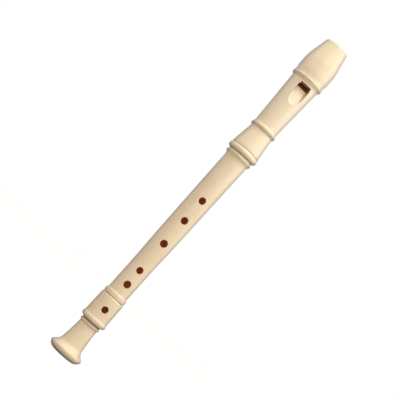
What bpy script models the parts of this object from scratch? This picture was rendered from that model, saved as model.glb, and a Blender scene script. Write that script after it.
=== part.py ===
"""Soprano recorder of ivory-coloured plastic: head joint with its block, middle joint and foot joint.

The bore runs along +Z. The instrument stands on the flat end of its bell at the origin,
and the window and the finger holes face the front, which is -Y. All sizes are in metres.
"""

import math

import bmesh
import bpy

# Turned surfaces
SEGMENTS = 40
HOLE_SEGMENTS = 16

# Fits between the pieces
JOINT_GAP = 0.0003
TENON_CLEARANCE = 0.0001
BLOCK_CLEARANCE = 0.0001

# Lengths of the three joints between their shoulders
FOOT_LENGTH = 0.0593
MIDDLE_LENGTH = 0.1490
HEAD_LENGTH = 0.1156

# Bell of the foot joint
BELL_RADIUS = 0.0149
BELL_SEAT_RADIUS = 0.0075
BELL_MOUTH_RADIUS = 0.0060
BELL_RIM_HEIGHT = 0.0046
BELL_CROWN_HEIGHT = 0.0015
BELL_FLARE_HEIGHT = 0.0069
BELL_NECK_RADIUS = 0.0098
BELL_MOUTH_DEPTH = 0.0200

# Neck, small ring, bead and barrel of the foot joint
NECK_RADIUS = 0.0082
NECK_LENGTH = 0.0178
FOOT_RING_WIDTH = 0.0024
FOOT_RING_RISE = 0.0005
FOOT_BEAD_WIDTH = 0.0049
FOOT_BEAD_PULL = 0.0121
BARREL_LOW_RADIUS = 0.0107
BARREL_TOP_RADIUS = 0.0104
FOOT_BORE_RADIUS = 0.0046
FOOT_BORE_TOP_RADIUS = 0.0048
FOOT_CHAMFER = 0.0004

# Middle joint
MIDDLE_RING_RADIUS = 0.0101
MIDDLE_RING_WIDTH = 0.0036
MIDDLE_LOW_RADIUS = 0.0090
MIDDLE_WAIST_RADIUS = 0.0091
MIDDLE_WAIST_HEIGHT = 0.0330
MIDDLE_CENTRE_RADIUS = 0.00972
MIDDLE_CENTRE_HEIGHT = 0.0650
MIDDLE_TOP_RADIUS = 0.0104
FLARE_RADIUS = 0.0121
FLARE_HEIGHT = 0.0055
FLARE_EDGE = 0.0024
LOWER_TENON_RADIUS = 0.0078
LOWER_TENON_LENGTH = 0.0078
UPPER_TENON_RADIUS = 0.0087
UPPER_TENON_LENGTH = 0.0210
TENON_CHAMFER = 0.0005
MIDDLE_BORE_TOP_RADIUS = 0.0066
MIDDLE_BORE_LOW_RADIUS = 0.0049

# Finger holes: distance below the shoulder above them, and diameter
FINGER_HOLES = ((0.0474, 0.0056), (0.0681, 0.0057), (0.0921, 0.0060), (0.1200, 0.0054), (0.1345, 0.0059))
FOOT_HOLE = (0.0112, 0.0053)
THUMB_HOLE = (0.0386, 0.0055)
HOLE_EDGE = 0.00025

# Socket bead and cone of the head joint
SOCKET_FOOT_RADIUS = 0.0110
SOCKET_BEAD_WIDTH = 0.0046
SOCKET_BEAD_PULL = 0.0143
SOCKET_BEAD_TOP_RADIUS = 0.0130
SOCKET_LIP_WIDTH = 0.0008
CONE_GROOVE_WIDTH = 0.0005
CONE_GROOVE_DEPTH = 0.0004
CONE_LENGTH = 0.0187
CONE_TOP_RADIUS = 0.01045

# Ring between the cone and the window
MID_RING_STEP = 0.0011
MID_BEAD_WIDTH = 0.0021
MID_BEAD_RISE = 0.0008
MID_BEAD_RADIUS = 0.0112
MID_FILLET_WIDTH = 0.0020
HEAD_LOW_RADIUS = 0.0106

# Double ring above the window
HEAD_TOP_RADIUS = 0.0126
HEAD_BODY_LENGTH = 0.0466
BEAK_COVE_WIDTH = 0.0010
BEAK_BEAD_RADIUS = 0.0136
BEAK_BEAD_WIDTH = 0.0016
BEAK_BEAD_RISE = 0.0006
BEAK_GROOVE_WIDTH = 0.0003
BEAK_HOLLOW_LENGTH = 0.0057
BEAK_HOLLOW_RADIUS = 0.01385

# Beak
BEAK_RADIUS = 0.0144
BEAK_SHOULDER_LENGTH = 0.0092
BEAK_TIP_RADIUS = 0.0106
BEAK_TIP_ROUND = 0.0010
BEAK_CUT_RADIUS = 0.0460
BEAK_CUT_LENGTH = 0.0270
BEAK_TIP_BACK = 0.0015

# Bore of the head joint, windway, window and ramp
HEAD_BORE_RADIUS = 0.0069
WINDOW_WIDTH = 0.0099
WINDOW_LENGTH = 0.0044
WINDWAY_LENGTH = 0.0408
WINDWAY_EXIT_WIDTH = 0.0098
WINDWAY_ENTRY_WIDTH = 0.0120
WINDWAY_FLOOR_HEIGHT = 0.0070
WINDWAY_EXIT_DEPTH = 0.0011
WINDWAY_ENTRY_DEPTH = 0.0018
LABIUM_HEIGHT = 0.0074
LABIUM_THICKNESS = 0.0003
RAMP_LENGTH = 0.0156
RAMP_END_LENGTH = 0.0092
RAMP_SPREAD = 0.0007
RAMP_WALL_LEAN = math.radians(9)
RAMP_FILLET = 0.0004
UNDERCUT_LENGTH = 0.0080
BLOCK_EXIT_CHAMFER = 0.0004

# Heights of the shoulders and of the window, measured from the bell
MIDDLE_FLOOR = FOOT_LENGTH + JOINT_GAP
MIDDLE_SHOULDER = MIDDLE_FLOOR + MIDDLE_LENGTH
HEAD_FLOOR = MIDDLE_SHOULDER + JOINT_GAP
HEAD_TIP = HEAD_FLOOR + HEAD_LENGTH
WINDOW_TOP = HEAD_TIP - WINDWAY_LENGTH
WINDOW_FOOT = WINDOW_TOP - WINDOW_LENGTH
CUTTER_REACH = 0.030


def half_round(start, end, rise, steps=6):
    """Points of a half ellipse over the chord from start to end, standing out by rise."""
    points = []
    for step in range(steps + 1):
        angle = math.pi * step / steps
        along = (1 - math.cos(angle)) / 2
        radius = start[0] + (end[0] - start[0]) * along + rise * math.sin(angle)
        points.append((radius, start[1] + (end[1] - start[1]) * along))
    return points


def sweep(start, leave, arrive, end, steps=6):
    """Points of a smooth curve from start to end, pulled towards leave and arrive."""
    points = []
    for step in range(steps + 1):
        t = step / steps
        weights = ((1 - t) ** 3, 3 * t * (1 - t) ** 2, 3 * t * t * (1 - t), t ** 3)
        pair = zip(weights, (start, leave, arrive, end))
        radius, height = 0.0, 0.0
        for weight, point in pair:
            radius += weight * point[0]
            height += weight * point[1]
        points.append((radius, height))
    return points


def tidy(points):
    """Drop each point that repeats the one before it."""
    kept = [points[0]]
    for point in points[1:]:
        if math.dist(point, kept[-1]) > 1e-6:
            kept.append(point)
    return kept


def plastic(name, colour, roughness):
    """A Principled material of one plastic colour."""
    material = bpy.data.materials.new(name)
    material.use_nodes = True
    shader = material.node_tree.nodes["Principled BSDF"]
    shader.inputs["Base Color"].default_value = (*colour, 1.0)
    shader.inputs["Roughness"].default_value = roughness
    shader.inputs["Metallic"].default_value = 0.0
    material.diffuse_color = (*colour, 1.0)
    return material


def as_object(bm, name, material=None):
    """Close a bmesh into a named object with its faces pointing out."""
    bmesh.ops.recalc_face_normals(bm, faces=bm.faces)
    mesh = bpy.data.meshes.new(name)
    bm.to_mesh(mesh)
    bm.free()
    mesh.shade_smooth()
    mesh.set_sharp_from_angle(angle=math.radians(35))
    thing = bpy.data.objects.new(name, mesh)
    if material:
        mesh.materials.append(material)
    bpy.context.scene.collection.objects.link(thing)
    return thing


def turned(name, outline, material):
    """Spin a closed outline of (radius, height) points about the bore."""
    bm = bmesh.new()
    corners = [bm.verts.new((radius, 0.0, height)) for radius, height in tidy(outline)]
    edges = []
    for index, corner in enumerate(corners):
        edges.append(bm.edges.new((corners[index - 1], corner)))
    bmesh.ops.spin(bm, geom=corners + edges, cent=(0, 0, 0), axis=(0, 0, 1),
                   angle=2 * math.pi, steps=SEGMENTS, use_merge=True)
    bmesh.ops.remove_doubles(bm, verts=bm.verts, dist=1e-7)
    return as_object(bm, name, material)


def loft(name, sections, material=None):
    """Join closed sections of equal counts, each a list of (x, y, z), and cap both ends."""
    bm = bmesh.new()
    rings = [[bm.verts.new(point) for point in section] for section in sections]
    for low, high in zip(rings, rings[1:]):
        for index in range(len(low)):
            bm.faces.new((low[index - 1], low[index], high[index], high[index - 1]))
    bm.faces.new(rings[0])
    bm.faces.new(rings[-1])
    return as_object(bm, name, material)


def cut(target, cutter):
    """Take a guide solid out of a piece."""
    cutter.hide_render = True
    cutter.display_type = "WIRE"
    modifier = target.modifiers.new("cut_" + cutter.name, "BOOLEAN")
    modifier.operation = "DIFFERENCE"
    modifier.solver = "EXACT"
    modifier.object = cutter


def slab(name, stations):
    """A cutter of four-sided sections: each station is (height, half width, front, back)."""
    sections = []
    for height, half_width, front, back in stations:
        sections.append([(-half_width, -back, height), (-half_width, -front, height),
                         (half_width, -front, height), (half_width, -back, height)])
    return loft(name, sections)


def hole_cutter(name, height, diameter, surface_radius, side):
    """A drill from the bore out through the wall, with a rounded edge where it comes out."""
    half = diameter / 2
    face = surface_radius - half * half / (2 * surface_radius)
    stations = ((0.0, half), (face - HOLE_EDGE, half), (face + HOLE_EDGE, half + 2 * HOLE_EDGE),
                (face + CUTTER_REACH / 5, half + 2 * HOLE_EDGE))
    sections = []
    for depth, radius in stations:
        ring = []
        for step in range(HOLE_SEGMENTS):
            angle = 2 * math.pi * (step + 0.5) / HOLE_SEGMENTS
            ring.append((radius * math.cos(angle), side * depth, height + radius * math.sin(angle)))
        sections.append(ring)
    return loft(name, sections)


def bell_outline():
    """Outside of the bell and neck, from the flat end upwards."""
    rim = []
    for step in range(8):
        angle = math.pi / 2 * step / 7
        reach = (BELL_RADIUS - BELL_SEAT_RADIUS) * math.sin(angle)
        rim.append((BELL_SEAT_RADIUS + reach, BELL_RIM_HEIGHT * (1 - math.cos(angle))))
    crown_top = BELL_RIM_HEIGHT + BELL_CROWN_HEIGHT
    flare_top = crown_top + BELL_FLARE_HEIGHT
    flare_drop = BELL_RADIUS - BELL_NECK_RADIUS
    crown = (BELL_RADIUS - 0.11 * flare_drop, crown_top)
    crown_curve = sweep(rim[-1], (BELL_RADIUS, BELL_RIM_HEIGHT + BELL_CROWN_HEIGHT / 2),
                        (BELL_RADIUS, BELL_RIM_HEIGHT + BELL_CROWN_HEIGHT / 2), crown, 3)
    flare = sweep(crown, (BELL_RADIUS - 0.45 * flare_drop, crown_top + 0.19 * BELL_FLARE_HEIGHT),
                  (BELL_NECK_RADIUS + 0.04 * flare_drop, crown_top + 0.42 * BELL_FLARE_HEIGHT),
                  (BELL_NECK_RADIUS, flare_top), 8)
    neck_top = flare_top + NECK_LENGTH
    taper = BELL_NECK_RADIUS - NECK_RADIUS
    neck = sweep(flare[-1], (BELL_NECK_RADIUS - 0.3 * taper, flare_top + 0.17 * NECK_LENGTH),
                 (NECK_RADIUS + 0.2 * taper, flare_top + 0.6 * NECK_LENGTH), (NECK_RADIUS, neck_top), 5)
    return rim + crown_curve + flare + neck


def foot_outline():
    """Closed outline of the foot joint: outside up, socket and bore down."""
    outside = bell_outline()
    height = outside[-1][1]
    ring = half_round((NECK_RADIUS + FOOT_RING_RISE / 3, height),
                      (NECK_RADIUS + FOOT_RING_RISE / 2, height + FOOT_RING_WIDTH), FOOT_RING_RISE, 4)
    bead_floor = height + FOOT_RING_WIDTH + 2 * FOOT_RING_RISE
    bead_top = bead_floor + FOOT_BEAD_WIDTH
    groove = (NECK_RADIUS, bead_floor - FOOT_RING_RISE)
    bead = sweep((NECK_RADIUS + FOOT_RING_RISE, bead_floor),
                 (FOOT_BEAD_PULL - 0.0004, bead_floor + 0.08 * FOOT_BEAD_WIDTH),
                 (FOOT_BEAD_PULL, bead_floor + 0.66 * FOOT_BEAD_WIDTH), (BARREL_LOW_RADIUS, bead_top), 7)
    barrel = [(BARREL_TOP_RADIUS, FOOT_LENGTH - 2 * FOOT_CHAMFER),
              (BARREL_TOP_RADIUS - FOOT_CHAMFER, FOOT_LENGTH)]
    socket_radius = LOWER_TENON_RADIUS + TENON_CLEARANCE
    socket_floor = MIDDLE_FLOOR - LOWER_TENON_LENGTH - JOINT_GAP
    inside = [(socket_radius + FOOT_CHAMFER, FOOT_LENGTH), (socket_radius, FOOT_LENGTH - FOOT_CHAMFER),
              (socket_radius, socket_floor), (FOOT_BORE_TOP_RADIUS, socket_floor)]
    mouth = sweep((FOOT_BORE_RADIUS, BELL_MOUTH_DEPTH), (FOOT_BORE_RADIUS, BELL_MOUTH_DEPTH / 2),
                  (BELL_MOUTH_RADIUS, BELL_MOUTH_DEPTH / 4), (BELL_MOUTH_RADIUS, 0.0), 4)
    return outside + ring + [groove] + bead + barrel + inside + mouth


def middle_outline():
    """Closed outline of the middle joint with its two tenons."""
    ring_top = MIDDLE_FLOOR + MIDDLE_RING_WIDTH
    step = MIDDLE_RING_RADIUS - MIDDLE_LOW_RADIUS
    lower_end = MIDDLE_FLOOR - LOWER_TENON_LENGTH
    lower = [(MIDDLE_BORE_LOW_RADIUS, lower_end), (LOWER_TENON_RADIUS - TENON_CHAMFER, lower_end),
             (LOWER_TENON_RADIUS, lower_end + TENON_CHAMFER), (LOWER_TENON_RADIUS, MIDDLE_FLOOR)]
    ring = [(MIDDLE_RING_RADIUS - FOOT_CHAMFER, MIDDLE_FLOOR),
            (MIDDLE_RING_RADIUS, MIDDLE_FLOOR + FOOT_CHAMFER), (MIDDLE_RING_RADIUS, ring_top)]
    ring += sweep((MIDDLE_RING_RADIUS - 0.2 * step, ring_top + 0.3 * step),
                  (MIDDLE_LOW_RADIUS + 0.1 * step, ring_top + 0.7 * step),
                  (MIDDLE_LOW_RADIUS, ring_top + step), (MIDDLE_LOW_RADIUS, ring_top + 1.6 * step), 3)
    flare_foot = MIDDLE_SHOULDER - FLARE_HEIGHT
    centre = MIDDLE_FLOOR + MIDDLE_CENTRE_HEIGHT
    waist = MIDDLE_FLOOR + MIDDLE_WAIST_HEIGHT
    growth = MIDDLE_TOP_RADIUS - MIDDLE_CENTRE_RADIUS
    body = [(MIDDLE_WAIST_RADIUS, waist)]
    body += sweep((MIDDLE_WAIST_RADIUS, waist), (MIDDLE_WAIST_RADIUS, waist + 0.010),
                  (MIDDLE_CENTRE_RADIUS - 0.1 * growth, centre - 0.008), (MIDDLE_CENTRE_RADIUS, centre), 3)
    body.append((MIDDLE_TOP_RADIUS, flare_foot))
    spread = FLARE_RADIUS - MIDDLE_TOP_RADIUS
    edge_foot = MIDDLE_SHOULDER - FLARE_EDGE
    flare = sweep((MIDDLE_TOP_RADIUS, flare_foot), (MIDDLE_TOP_RADIUS + 0.1 * spread, flare_foot + 0.0012),
                  (FLARE_RADIUS - 0.3 * spread, edge_foot - 0.0010), (FLARE_RADIUS, edge_foot), 4)
    flare += half_round((FLARE_RADIUS, edge_foot), (FLARE_RADIUS - 0.5 * spread, MIDDLE_SHOULDER), 0.0003, 3)
    tenon_top = MIDDLE_SHOULDER + UPPER_TENON_LENGTH
    upper = [(UPPER_TENON_RADIUS, MIDDLE_SHOULDER), (UPPER_TENON_RADIUS, tenon_top - TENON_CHAMFER),
             (UPPER_TENON_RADIUS - TENON_CHAMFER, tenon_top), (MIDDLE_BORE_TOP_RADIUS, tenon_top)]
    return lower + ring + body + flare + upper


def socket_outline():
    """Outside of the socket: bead, groove, cone and the ring that ends it."""
    bead_top = HEAD_FLOOR + SOCKET_BEAD_WIDTH
    bead = sweep((SOCKET_FOOT_RADIUS, HEAD_FLOOR),
                 (SOCKET_BEAD_PULL - 0.0003, HEAD_FLOOR + 0.07 * SOCKET_BEAD_WIDTH),
                 (SOCKET_BEAD_PULL, HEAD_FLOOR + 0.70 * SOCKET_BEAD_WIDTH),
                 (SOCKET_BEAD_TOP_RADIUS, bead_top), 8)
    lip_top = bead_top + SOCKET_LIP_WIDTH
    groove_top = lip_top + CONE_GROOVE_WIDTH
    groove_radius = SOCKET_BEAD_TOP_RADIUS - CONE_GROOVE_DEPTH
    groove = [(SOCKET_BEAD_TOP_RADIUS, lip_top), (groove_radius, lip_top + CONE_GROOVE_WIDTH / 4),
              (groove_radius, groove_top - CONE_GROOVE_WIDTH / 4),
              (SOCKET_BEAD_TOP_RADIUS - CONE_GROOVE_DEPTH / 4, groove_top)]
    cone_top = groove_top + CONE_LENGTH
    step_top = cone_top + MID_RING_STEP
    bead_foot = (MID_BEAD_RADIUS, step_top)
    rise = sweep((CONE_TOP_RADIUS, cone_top), (CONE_TOP_RADIUS, cone_top + MID_RING_STEP / 2),
                 (MID_BEAD_RADIUS, cone_top + MID_RING_STEP / 2), bead_foot, 3)
    mid_bead_top = step_top + MID_BEAD_WIDTH
    mid_bead = half_round(bead_foot, (MID_BEAD_RADIUS, mid_bead_top), MID_BEAD_RISE, 5)
    fillet_top = mid_bead_top + MID_FILLET_WIDTH
    fillet = sweep((MID_BEAD_RADIUS + 0.0002, mid_bead_top + 0.0002), (MID_BEAD_RADIUS, fillet_top - 0.0009),
                   (HEAD_LOW_RADIUS, fillet_top - 0.0006), (HEAD_LOW_RADIUS, fillet_top), 4)
    return bead + groove + rise + mid_bead + fillet


def beak_outline(body_floor):
    """Outside of the double ring and the beak, above the tapered body."""
    ring_foot = body_floor + HEAD_BODY_LENGTH
    cove_top = ring_foot + BEAK_COVE_WIDTH
    cove = sweep((HEAD_TOP_RADIUS, ring_foot - BEAK_COVE_WIDTH), (HEAD_TOP_RADIUS + 0.0001, ring_foot),
                 (HEAD_TOP_RADIUS + 0.0003, cove_top - 0.0003), (BEAK_BEAD_RADIUS, cove_top), 3)
    groove_floor = cove_top + BEAK_BEAD_WIDTH
    first = half_round((BEAK_BEAD_RADIUS, cove_top), (BEAK_BEAD_RADIUS + 0.0001, groove_floor),
                       BEAK_BEAD_RISE, 4)
    second_floor = groove_floor + BEAK_GROOVE_WIDTH
    second_top = second_floor + BEAK_BEAD_WIDTH
    second = half_round((BEAK_BEAD_RADIUS + 0.0001, second_floor), (BEAK_HOLLOW_RADIUS, second_top),
                        BEAK_BEAD_RISE, 4)
    shoulder = second_top + BEAK_HOLLOW_LENGTH
    hollow = sweep((BEAK_HOLLOW_RADIUS, second_top + 0.0003), (BEAK_HOLLOW_RADIUS - 0.0002, second_top + 0.0025),
                   (BEAK_RADIUS - 0.0002, shoulder - 0.0025), (BEAK_RADIUS - 0.00005, shoulder), 4)
    crest = shoulder + BEAK_SHOULDER_LENGTH
    tip_low = HEAD_TIP - BEAK_TIP_ROUND
    run = tip_low - crest
    fall = BEAK_RADIUS - BEAK_TIP_RADIUS
    taper = sweep((BEAK_RADIUS - 0.02 * fall, crest), (BEAK_RADIUS - 0.08 * fall, crest + 0.17 * run),
                  (BEAK_TIP_RADIUS + 0.26 * fall, crest + 0.73 * run), (BEAK_TIP_RADIUS, tip_low), 8)
    tip = [(BEAK_TIP_RADIUS - 0.3 * BEAK_TIP_ROUND, HEAD_TIP - 0.3 * BEAK_TIP_ROUND),
           (BEAK_TIP_RADIUS - BEAK_TIP_ROUND, HEAD_TIP)]
    return cove + first + second + hollow + [(BEAK_RADIUS, shoulder + 0.0030)] + taper + tip


def head_outline():
    """Closed outline of the head joint: outside up, bore and socket down."""
    socket = socket_outline()
    outside = socket + beak_outline(socket[-1][1])
    socket_radius = UPPER_TENON_RADIUS + TENON_CLEARANCE
    socket_top = MIDDLE_SHOULDER + UPPER_TENON_LENGTH + JOINT_GAP
    inside = [(HEAD_BORE_RADIUS, HEAD_TIP), (HEAD_BORE_RADIUS, socket_top), (socket_radius, socket_top),
              (socket_radius, HEAD_FLOOR + FOOT_CHAMFER), (socket_radius + FOOT_CHAMFER, HEAD_FLOOR)]
    return outside + inside


def windway_cutter():
    """Channel above the block, from the window out through the tip, higher and wider at the tip."""
    exit_roof = WINDWAY_FLOOR_HEIGHT + WINDWAY_EXIT_DEPTH
    entry_roof = WINDWAY_FLOOR_HEIGHT + WINDWAY_ENTRY_DEPTH
    past = 0.002
    slope = (entry_roof - exit_roof) / WINDWAY_LENGTH
    spread = (WINDWAY_ENTRY_WIDTH - WINDWAY_EXIT_WIDTH) / 2 / WINDWAY_LENGTH
    return slab("windway_guide", (
        (WINDOW_TOP - past, WINDWAY_EXIT_WIDTH / 2 - past * spread, exit_roof - past * slope, 0.0),
        (HEAD_TIP + past, WINDWAY_ENTRY_WIDTH / 2 + past * spread, entry_roof + past * slope, 0.0)))


def window_cutter():
    """Rectangular window through the front wall, down to the bore."""
    return slab("window_guide", ((WINDOW_FOOT, WINDOW_WIDTH / 2, CUTTER_REACH, 0.0),
                                 (WINDOW_TOP, WINDOW_WIDTH / 2, CUTTER_REACH, 0.0)))


def undercut_cutter():
    """Slope under the labium, which leaves a thin straight edge across the window's foot."""
    under = LABIUM_HEIGHT - LABIUM_THICKNESS
    half = WINDWAY_EXIT_WIDTH / 2
    corner = math.sqrt(HEAD_BORE_RADIUS ** 2 - half ** 2)
    return slab("undercut_guide", ((WINDOW_FOOT - UNDERCUT_LENGTH, half, corner, 0.0),
                                   (WINDOW_FOOT + WINDOW_LENGTH / 2, half, under, 0.0)))


def ramp_cutter():
    """Ramp in front of the labium: flat floor, filleted side walls and a rounded lower end."""
    outside_radius = HEAD_LOW_RADIUS + (HEAD_TOP_RADIUS - HEAD_LOW_RADIUS) * 0.55
    slope = (outside_radius - LABIUM_HEIGHT) / RAMP_LENGTH
    widest = WINDOW_FOOT - (RAMP_LENGTH - RAMP_END_LENGTH)
    stations = [WINDOW_FOOT + WINDOW_LENGTH / 2, WINDOW_FOOT, widest]
    for step in range(1, 6):
        stations.append(widest - RAMP_END_LENGTH * math.sin(math.pi / 2 * step / 6))
    sections = []
    for height in stations:
        fall = max(0.0, widest - height) / RAMP_END_LENGTH
        opening = WINDOW_WIDTH / 2 + RAMP_SPREAD * min(1.0, (WINDOW_FOOT - height) / RAMP_LENGTH + 0.3)
        half = opening * math.sqrt(1 - fall * fall)
        floor = LABIUM_HEIGHT + slope * (WINDOW_FOOT - height)
        fillet = min(RAMP_FILLET, half / 2)
        lean = (CUTTER_REACH - floor) * math.tan(RAMP_WALL_LEAN)
        section = [(-half - lean, -CUTTER_REACH, height)]
        for step in range(4):
            angle = math.pi / 2 * step / 3
            section.append((-half + fillet * (1 - math.cos(angle)), -floor - fillet * (1 - math.sin(angle)), height))
        for step in range(4):
            angle = math.pi / 2 * step / 3
            section.append((half - fillet * (1 - math.sin(angle)), -floor - fillet * (1 - math.cos(angle)), height))
        section.append((half + lean, -CUTTER_REACH, height))
        sections.append(section)
    return loft("ramp_guide", sections)


def beak_cutter():
    """Round bar across the back that takes the hollow out of the underside of the beak."""
    tip = (-BEAK_TIP_BACK, HEAD_TIP)
    start = (-BEAK_RADIUS, HEAD_TIP - BEAK_CUT_LENGTH)
    middle = ((tip[0] + start[0]) / 2, (tip[1] + start[1]) / 2)
    chord = math.dist(tip, start)
    away = math.sqrt(BEAK_CUT_RADIUS ** 2 - chord ** 2 / 4)
    across = ((start[1] - tip[1]) / chord, (tip[0] - start[0]) / chord)
    centre = (middle[0] + across[0] * away, middle[1] + across[1] * away)
    sections = []
    for x in (-CUTTER_REACH, CUTTER_REACH):
        ring = []
        for step in range(96):
            angle = 2 * math.pi * step / 96
            front = centre[0] + BEAK_CUT_RADIUS * math.cos(angle)
            height = centre[1] + BEAK_CUT_RADIUS * math.sin(angle)
            ring.append((x, -front, height))
        sections.append(ring)
    return loft("beak_guide", sections)


def block_section(height, half_width, floor_height, arc_steps=20):
    """Section of the block: a round plug with a flat-topped rib that floors the windway."""
    radius = HEAD_BORE_RADIUS - BLOCK_CLEARANCE
    start = math.asin(half_width / radius)
    points = [(-half_width, -floor_height, height), (half_width, -floor_height, height)]
    for step in range(arc_steps + 1):
        angle = start + (2 * math.pi - 2 * start) * step / arc_steps
        points.append((radius * math.sin(angle), -radius * math.cos(angle), height))
    return points


def foot_joint(material):
    """Foot joint: bell, neck, barrel with the socket, and the little finger's hole."""
    foot = turned("foot_joint", foot_outline(), material)
    below, diameter = FOOT_HOLE
    cut(foot, hole_cutter("foot_hole_guide", FOOT_LENGTH - below, diameter, BARREL_TOP_RADIUS, -1))
    return foot


def middle_joint(material):
    """Middle joint: tube with two tenons, the front finger holes and the thumb hole behind."""
    middle = turned("middle_joint", middle_outline(), material)
    for index, (below, diameter) in enumerate(FINGER_HOLES):
        height = MIDDLE_SHOULDER - below
        share = min(1.0, max(0.0, (height - MIDDLE_FLOOR - MIDDLE_WAIST_HEIGHT) / MIDDLE_LENGTH))
        radius = MIDDLE_WAIST_RADIUS + (MIDDLE_TOP_RADIUS - MIDDLE_WAIST_RADIUS) * share * 1.25
        cut(middle, hole_cutter(f"finger_hole_guide_{index + 1}", height, diameter, radius, -1))
    below, diameter = THUMB_HOLE
    cut(middle, hole_cutter("thumb_hole_guide", MIDDLE_SHOULDER - below, diameter, MIDDLE_CENTRE_RADIUS, 1))
    return middle


def head_joint(material, beak):
    """Head joint: socket, tapered body with window and ramp, windway roof and beak."""
    head = turned("head_joint", head_outline(), material)
    cut(head, windway_cutter())
    cut(head, window_cutter())
    cut(head, undercut_cutter())
    cut(head, ramp_cutter())
    cut(head, beak)
    return head


def block(material, beak):
    """Block: the plug that floors the windway and closes the beak from behind."""
    spread = (WINDWAY_ENTRY_WIDTH - WINDWAY_EXIT_WIDTH) / 2 / WINDWAY_LENGTH
    exit_half = WINDWAY_EXIT_WIDTH / 2 - BLOCK_CLEARANCE
    stations = ((WINDOW_TOP, exit_half, WINDWAY_FLOOR_HEIGHT - BLOCK_EXIT_CHAMFER),
                (WINDOW_TOP + BLOCK_EXIT_CHAMFER, exit_half + BLOCK_EXIT_CHAMFER * spread, WINDWAY_FLOOR_HEIGHT),
                (HEAD_TIP, exit_half + WINDWAY_LENGTH * spread, WINDWAY_FLOOR_HEIGHT))
    plug = loft("block", [block_section(*station) for station in stations], material)
    cut(plug, beak)
    return plug


def main():
    """Build the recorder in an empty scene."""
    for thing in list(bpy.data.objects):
        bpy.data.objects.remove(thing, do_unlink=True)
    ivory = (0.86, 0.74, 0.55)
    beak = beak_cutter()
    foot_joint(plastic("ivory_foot", ivory, 0.38))
    middle_joint(plastic("ivory_middle", ivory, 0.38))
    head_joint(plastic("ivory_head", ivory, 0.36), beak)
    block(plastic("ivory_block", (0.84, 0.72, 0.53), 0.42), beak)


if __name__ == "__main__":
    main()
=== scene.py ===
"""Soprano recorder of ivory plastic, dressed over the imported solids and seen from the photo's angle."""

import logging
import math
from dataclasses import dataclass
from enum import Enum
from typing import Iterable, Sequence

import bmesh
import bpy
from bpy.types import Material, Node, NodeTree, Object, ShaderNodeTree
from mathutils import Matrix, Vector

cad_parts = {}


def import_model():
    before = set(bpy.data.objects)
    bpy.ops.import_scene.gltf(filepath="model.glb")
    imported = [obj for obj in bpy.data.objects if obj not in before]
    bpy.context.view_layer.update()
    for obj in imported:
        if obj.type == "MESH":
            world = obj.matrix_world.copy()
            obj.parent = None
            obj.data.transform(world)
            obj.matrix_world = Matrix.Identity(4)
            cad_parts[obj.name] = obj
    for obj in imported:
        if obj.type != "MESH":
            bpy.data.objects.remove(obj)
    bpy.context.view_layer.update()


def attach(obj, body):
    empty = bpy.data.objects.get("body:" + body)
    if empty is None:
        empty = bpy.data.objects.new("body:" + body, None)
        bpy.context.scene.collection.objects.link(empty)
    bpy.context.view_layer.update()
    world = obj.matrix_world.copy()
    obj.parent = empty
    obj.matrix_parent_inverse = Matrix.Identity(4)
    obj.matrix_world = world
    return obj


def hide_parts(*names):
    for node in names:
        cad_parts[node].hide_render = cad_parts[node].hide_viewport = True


Point = tuple[float, float]
Place = tuple[float, float, float]
Colour = tuple[float, float, float]

log = logging.getLogger("recorder")

TURNED_SEGMENTS = 160
DRILL_SEGMENTS = 48
RING_SPACING = 0.004
CORNER_RADIUS = 0.00012
CORNER_ANGLE = math.radians(25)
CORNER_SHARE = 0.4
SAME_PLACE = 2e-6
WELD_DISTANCE = 1e-7
SHARP_ANGLE = math.radians(32)
INWARD = -0.5


class Side(Enum):
    """The side of the instrument that a tone hole opens to."""

    FRONT = -1
    BACK = 1


def half_round(start: Point, end: Point, rise: float, steps: int = 16) -> list[Point]:
    """Follow a half ellipse over a chord.

    Args:
        start: First (radius, height).
        end: Last (radius, height).
        rise: How far the curve stands out from the chord.
        steps: Number of stretches.

    Returns:
        The points, both ends included.
    """
    points = []
    for step in range(steps + 1):
        angle = math.pi * step / steps
        along = (1 - math.cos(angle)) / 2
        radius = start[0] + (end[0] - start[0]) * along + rise * math.sin(angle)
        points.append((radius, start[1] + (end[1] - start[1]) * along))
    return points


def sweep(start: Point, leave: Point, arrive: Point, end: Point, steps: int = 16) -> list[Point]:
    """Follow a smooth curve that is pulled towards two points.

    Args:
        start: First (radius, height).
        leave: Point that the curve leaves towards.
        arrive: Point that the curve arrives from.
        end: Last (radius, height).
        steps: Number of stretches.

    Returns:
        The points, both ends included.
    """
    points = []
    for step in range(steps + 1):
        t = step / steps
        weights = ((1 - t) ** 3, 3 * t * (1 - t) ** 2, 3 * t * t * (1 - t), t ** 3)
        radius = sum(w * p[0] for w, p in zip(weights, (start, leave, arrive, end)))
        height = sum(w * p[1] for w, p in zip(weights, (start, leave, arrive, end)))
        points.append((radius, height))
    return points


def softened(points: Sequence[Point]) -> list[Point]:
    """Round the sharp corners of a closed outline.

    Args:
        points: Corners of the outline in order.

    Returns:
        The outline with three points in place of each sharp corner.
    """
    corners = [Vector(points[0])]
    for point in points[1:]:
        if (Vector(point) - corners[-1]).length > SAME_PLACE:
            corners.append(Vector(point))
    result = []
    for index, corner in enumerate(corners):
        before = corners[index - 1] - corner
        after = corners[(index + 1) % len(corners)] - corner
        turn = math.pi - before.angle(after)
        if turn < CORNER_ANGLE:
            result.append(tuple(corner))
            continue
        take = min(CORNER_RADIUS, before.length * CORNER_SHARE, after.length * CORNER_SHARE)
        low = corner + before.normalized() * take
        high = corner + after.normalized() * take
        result += [tuple(low), tuple((low + high) / 4 + corner / 2), tuple(high)]
    return result


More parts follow.
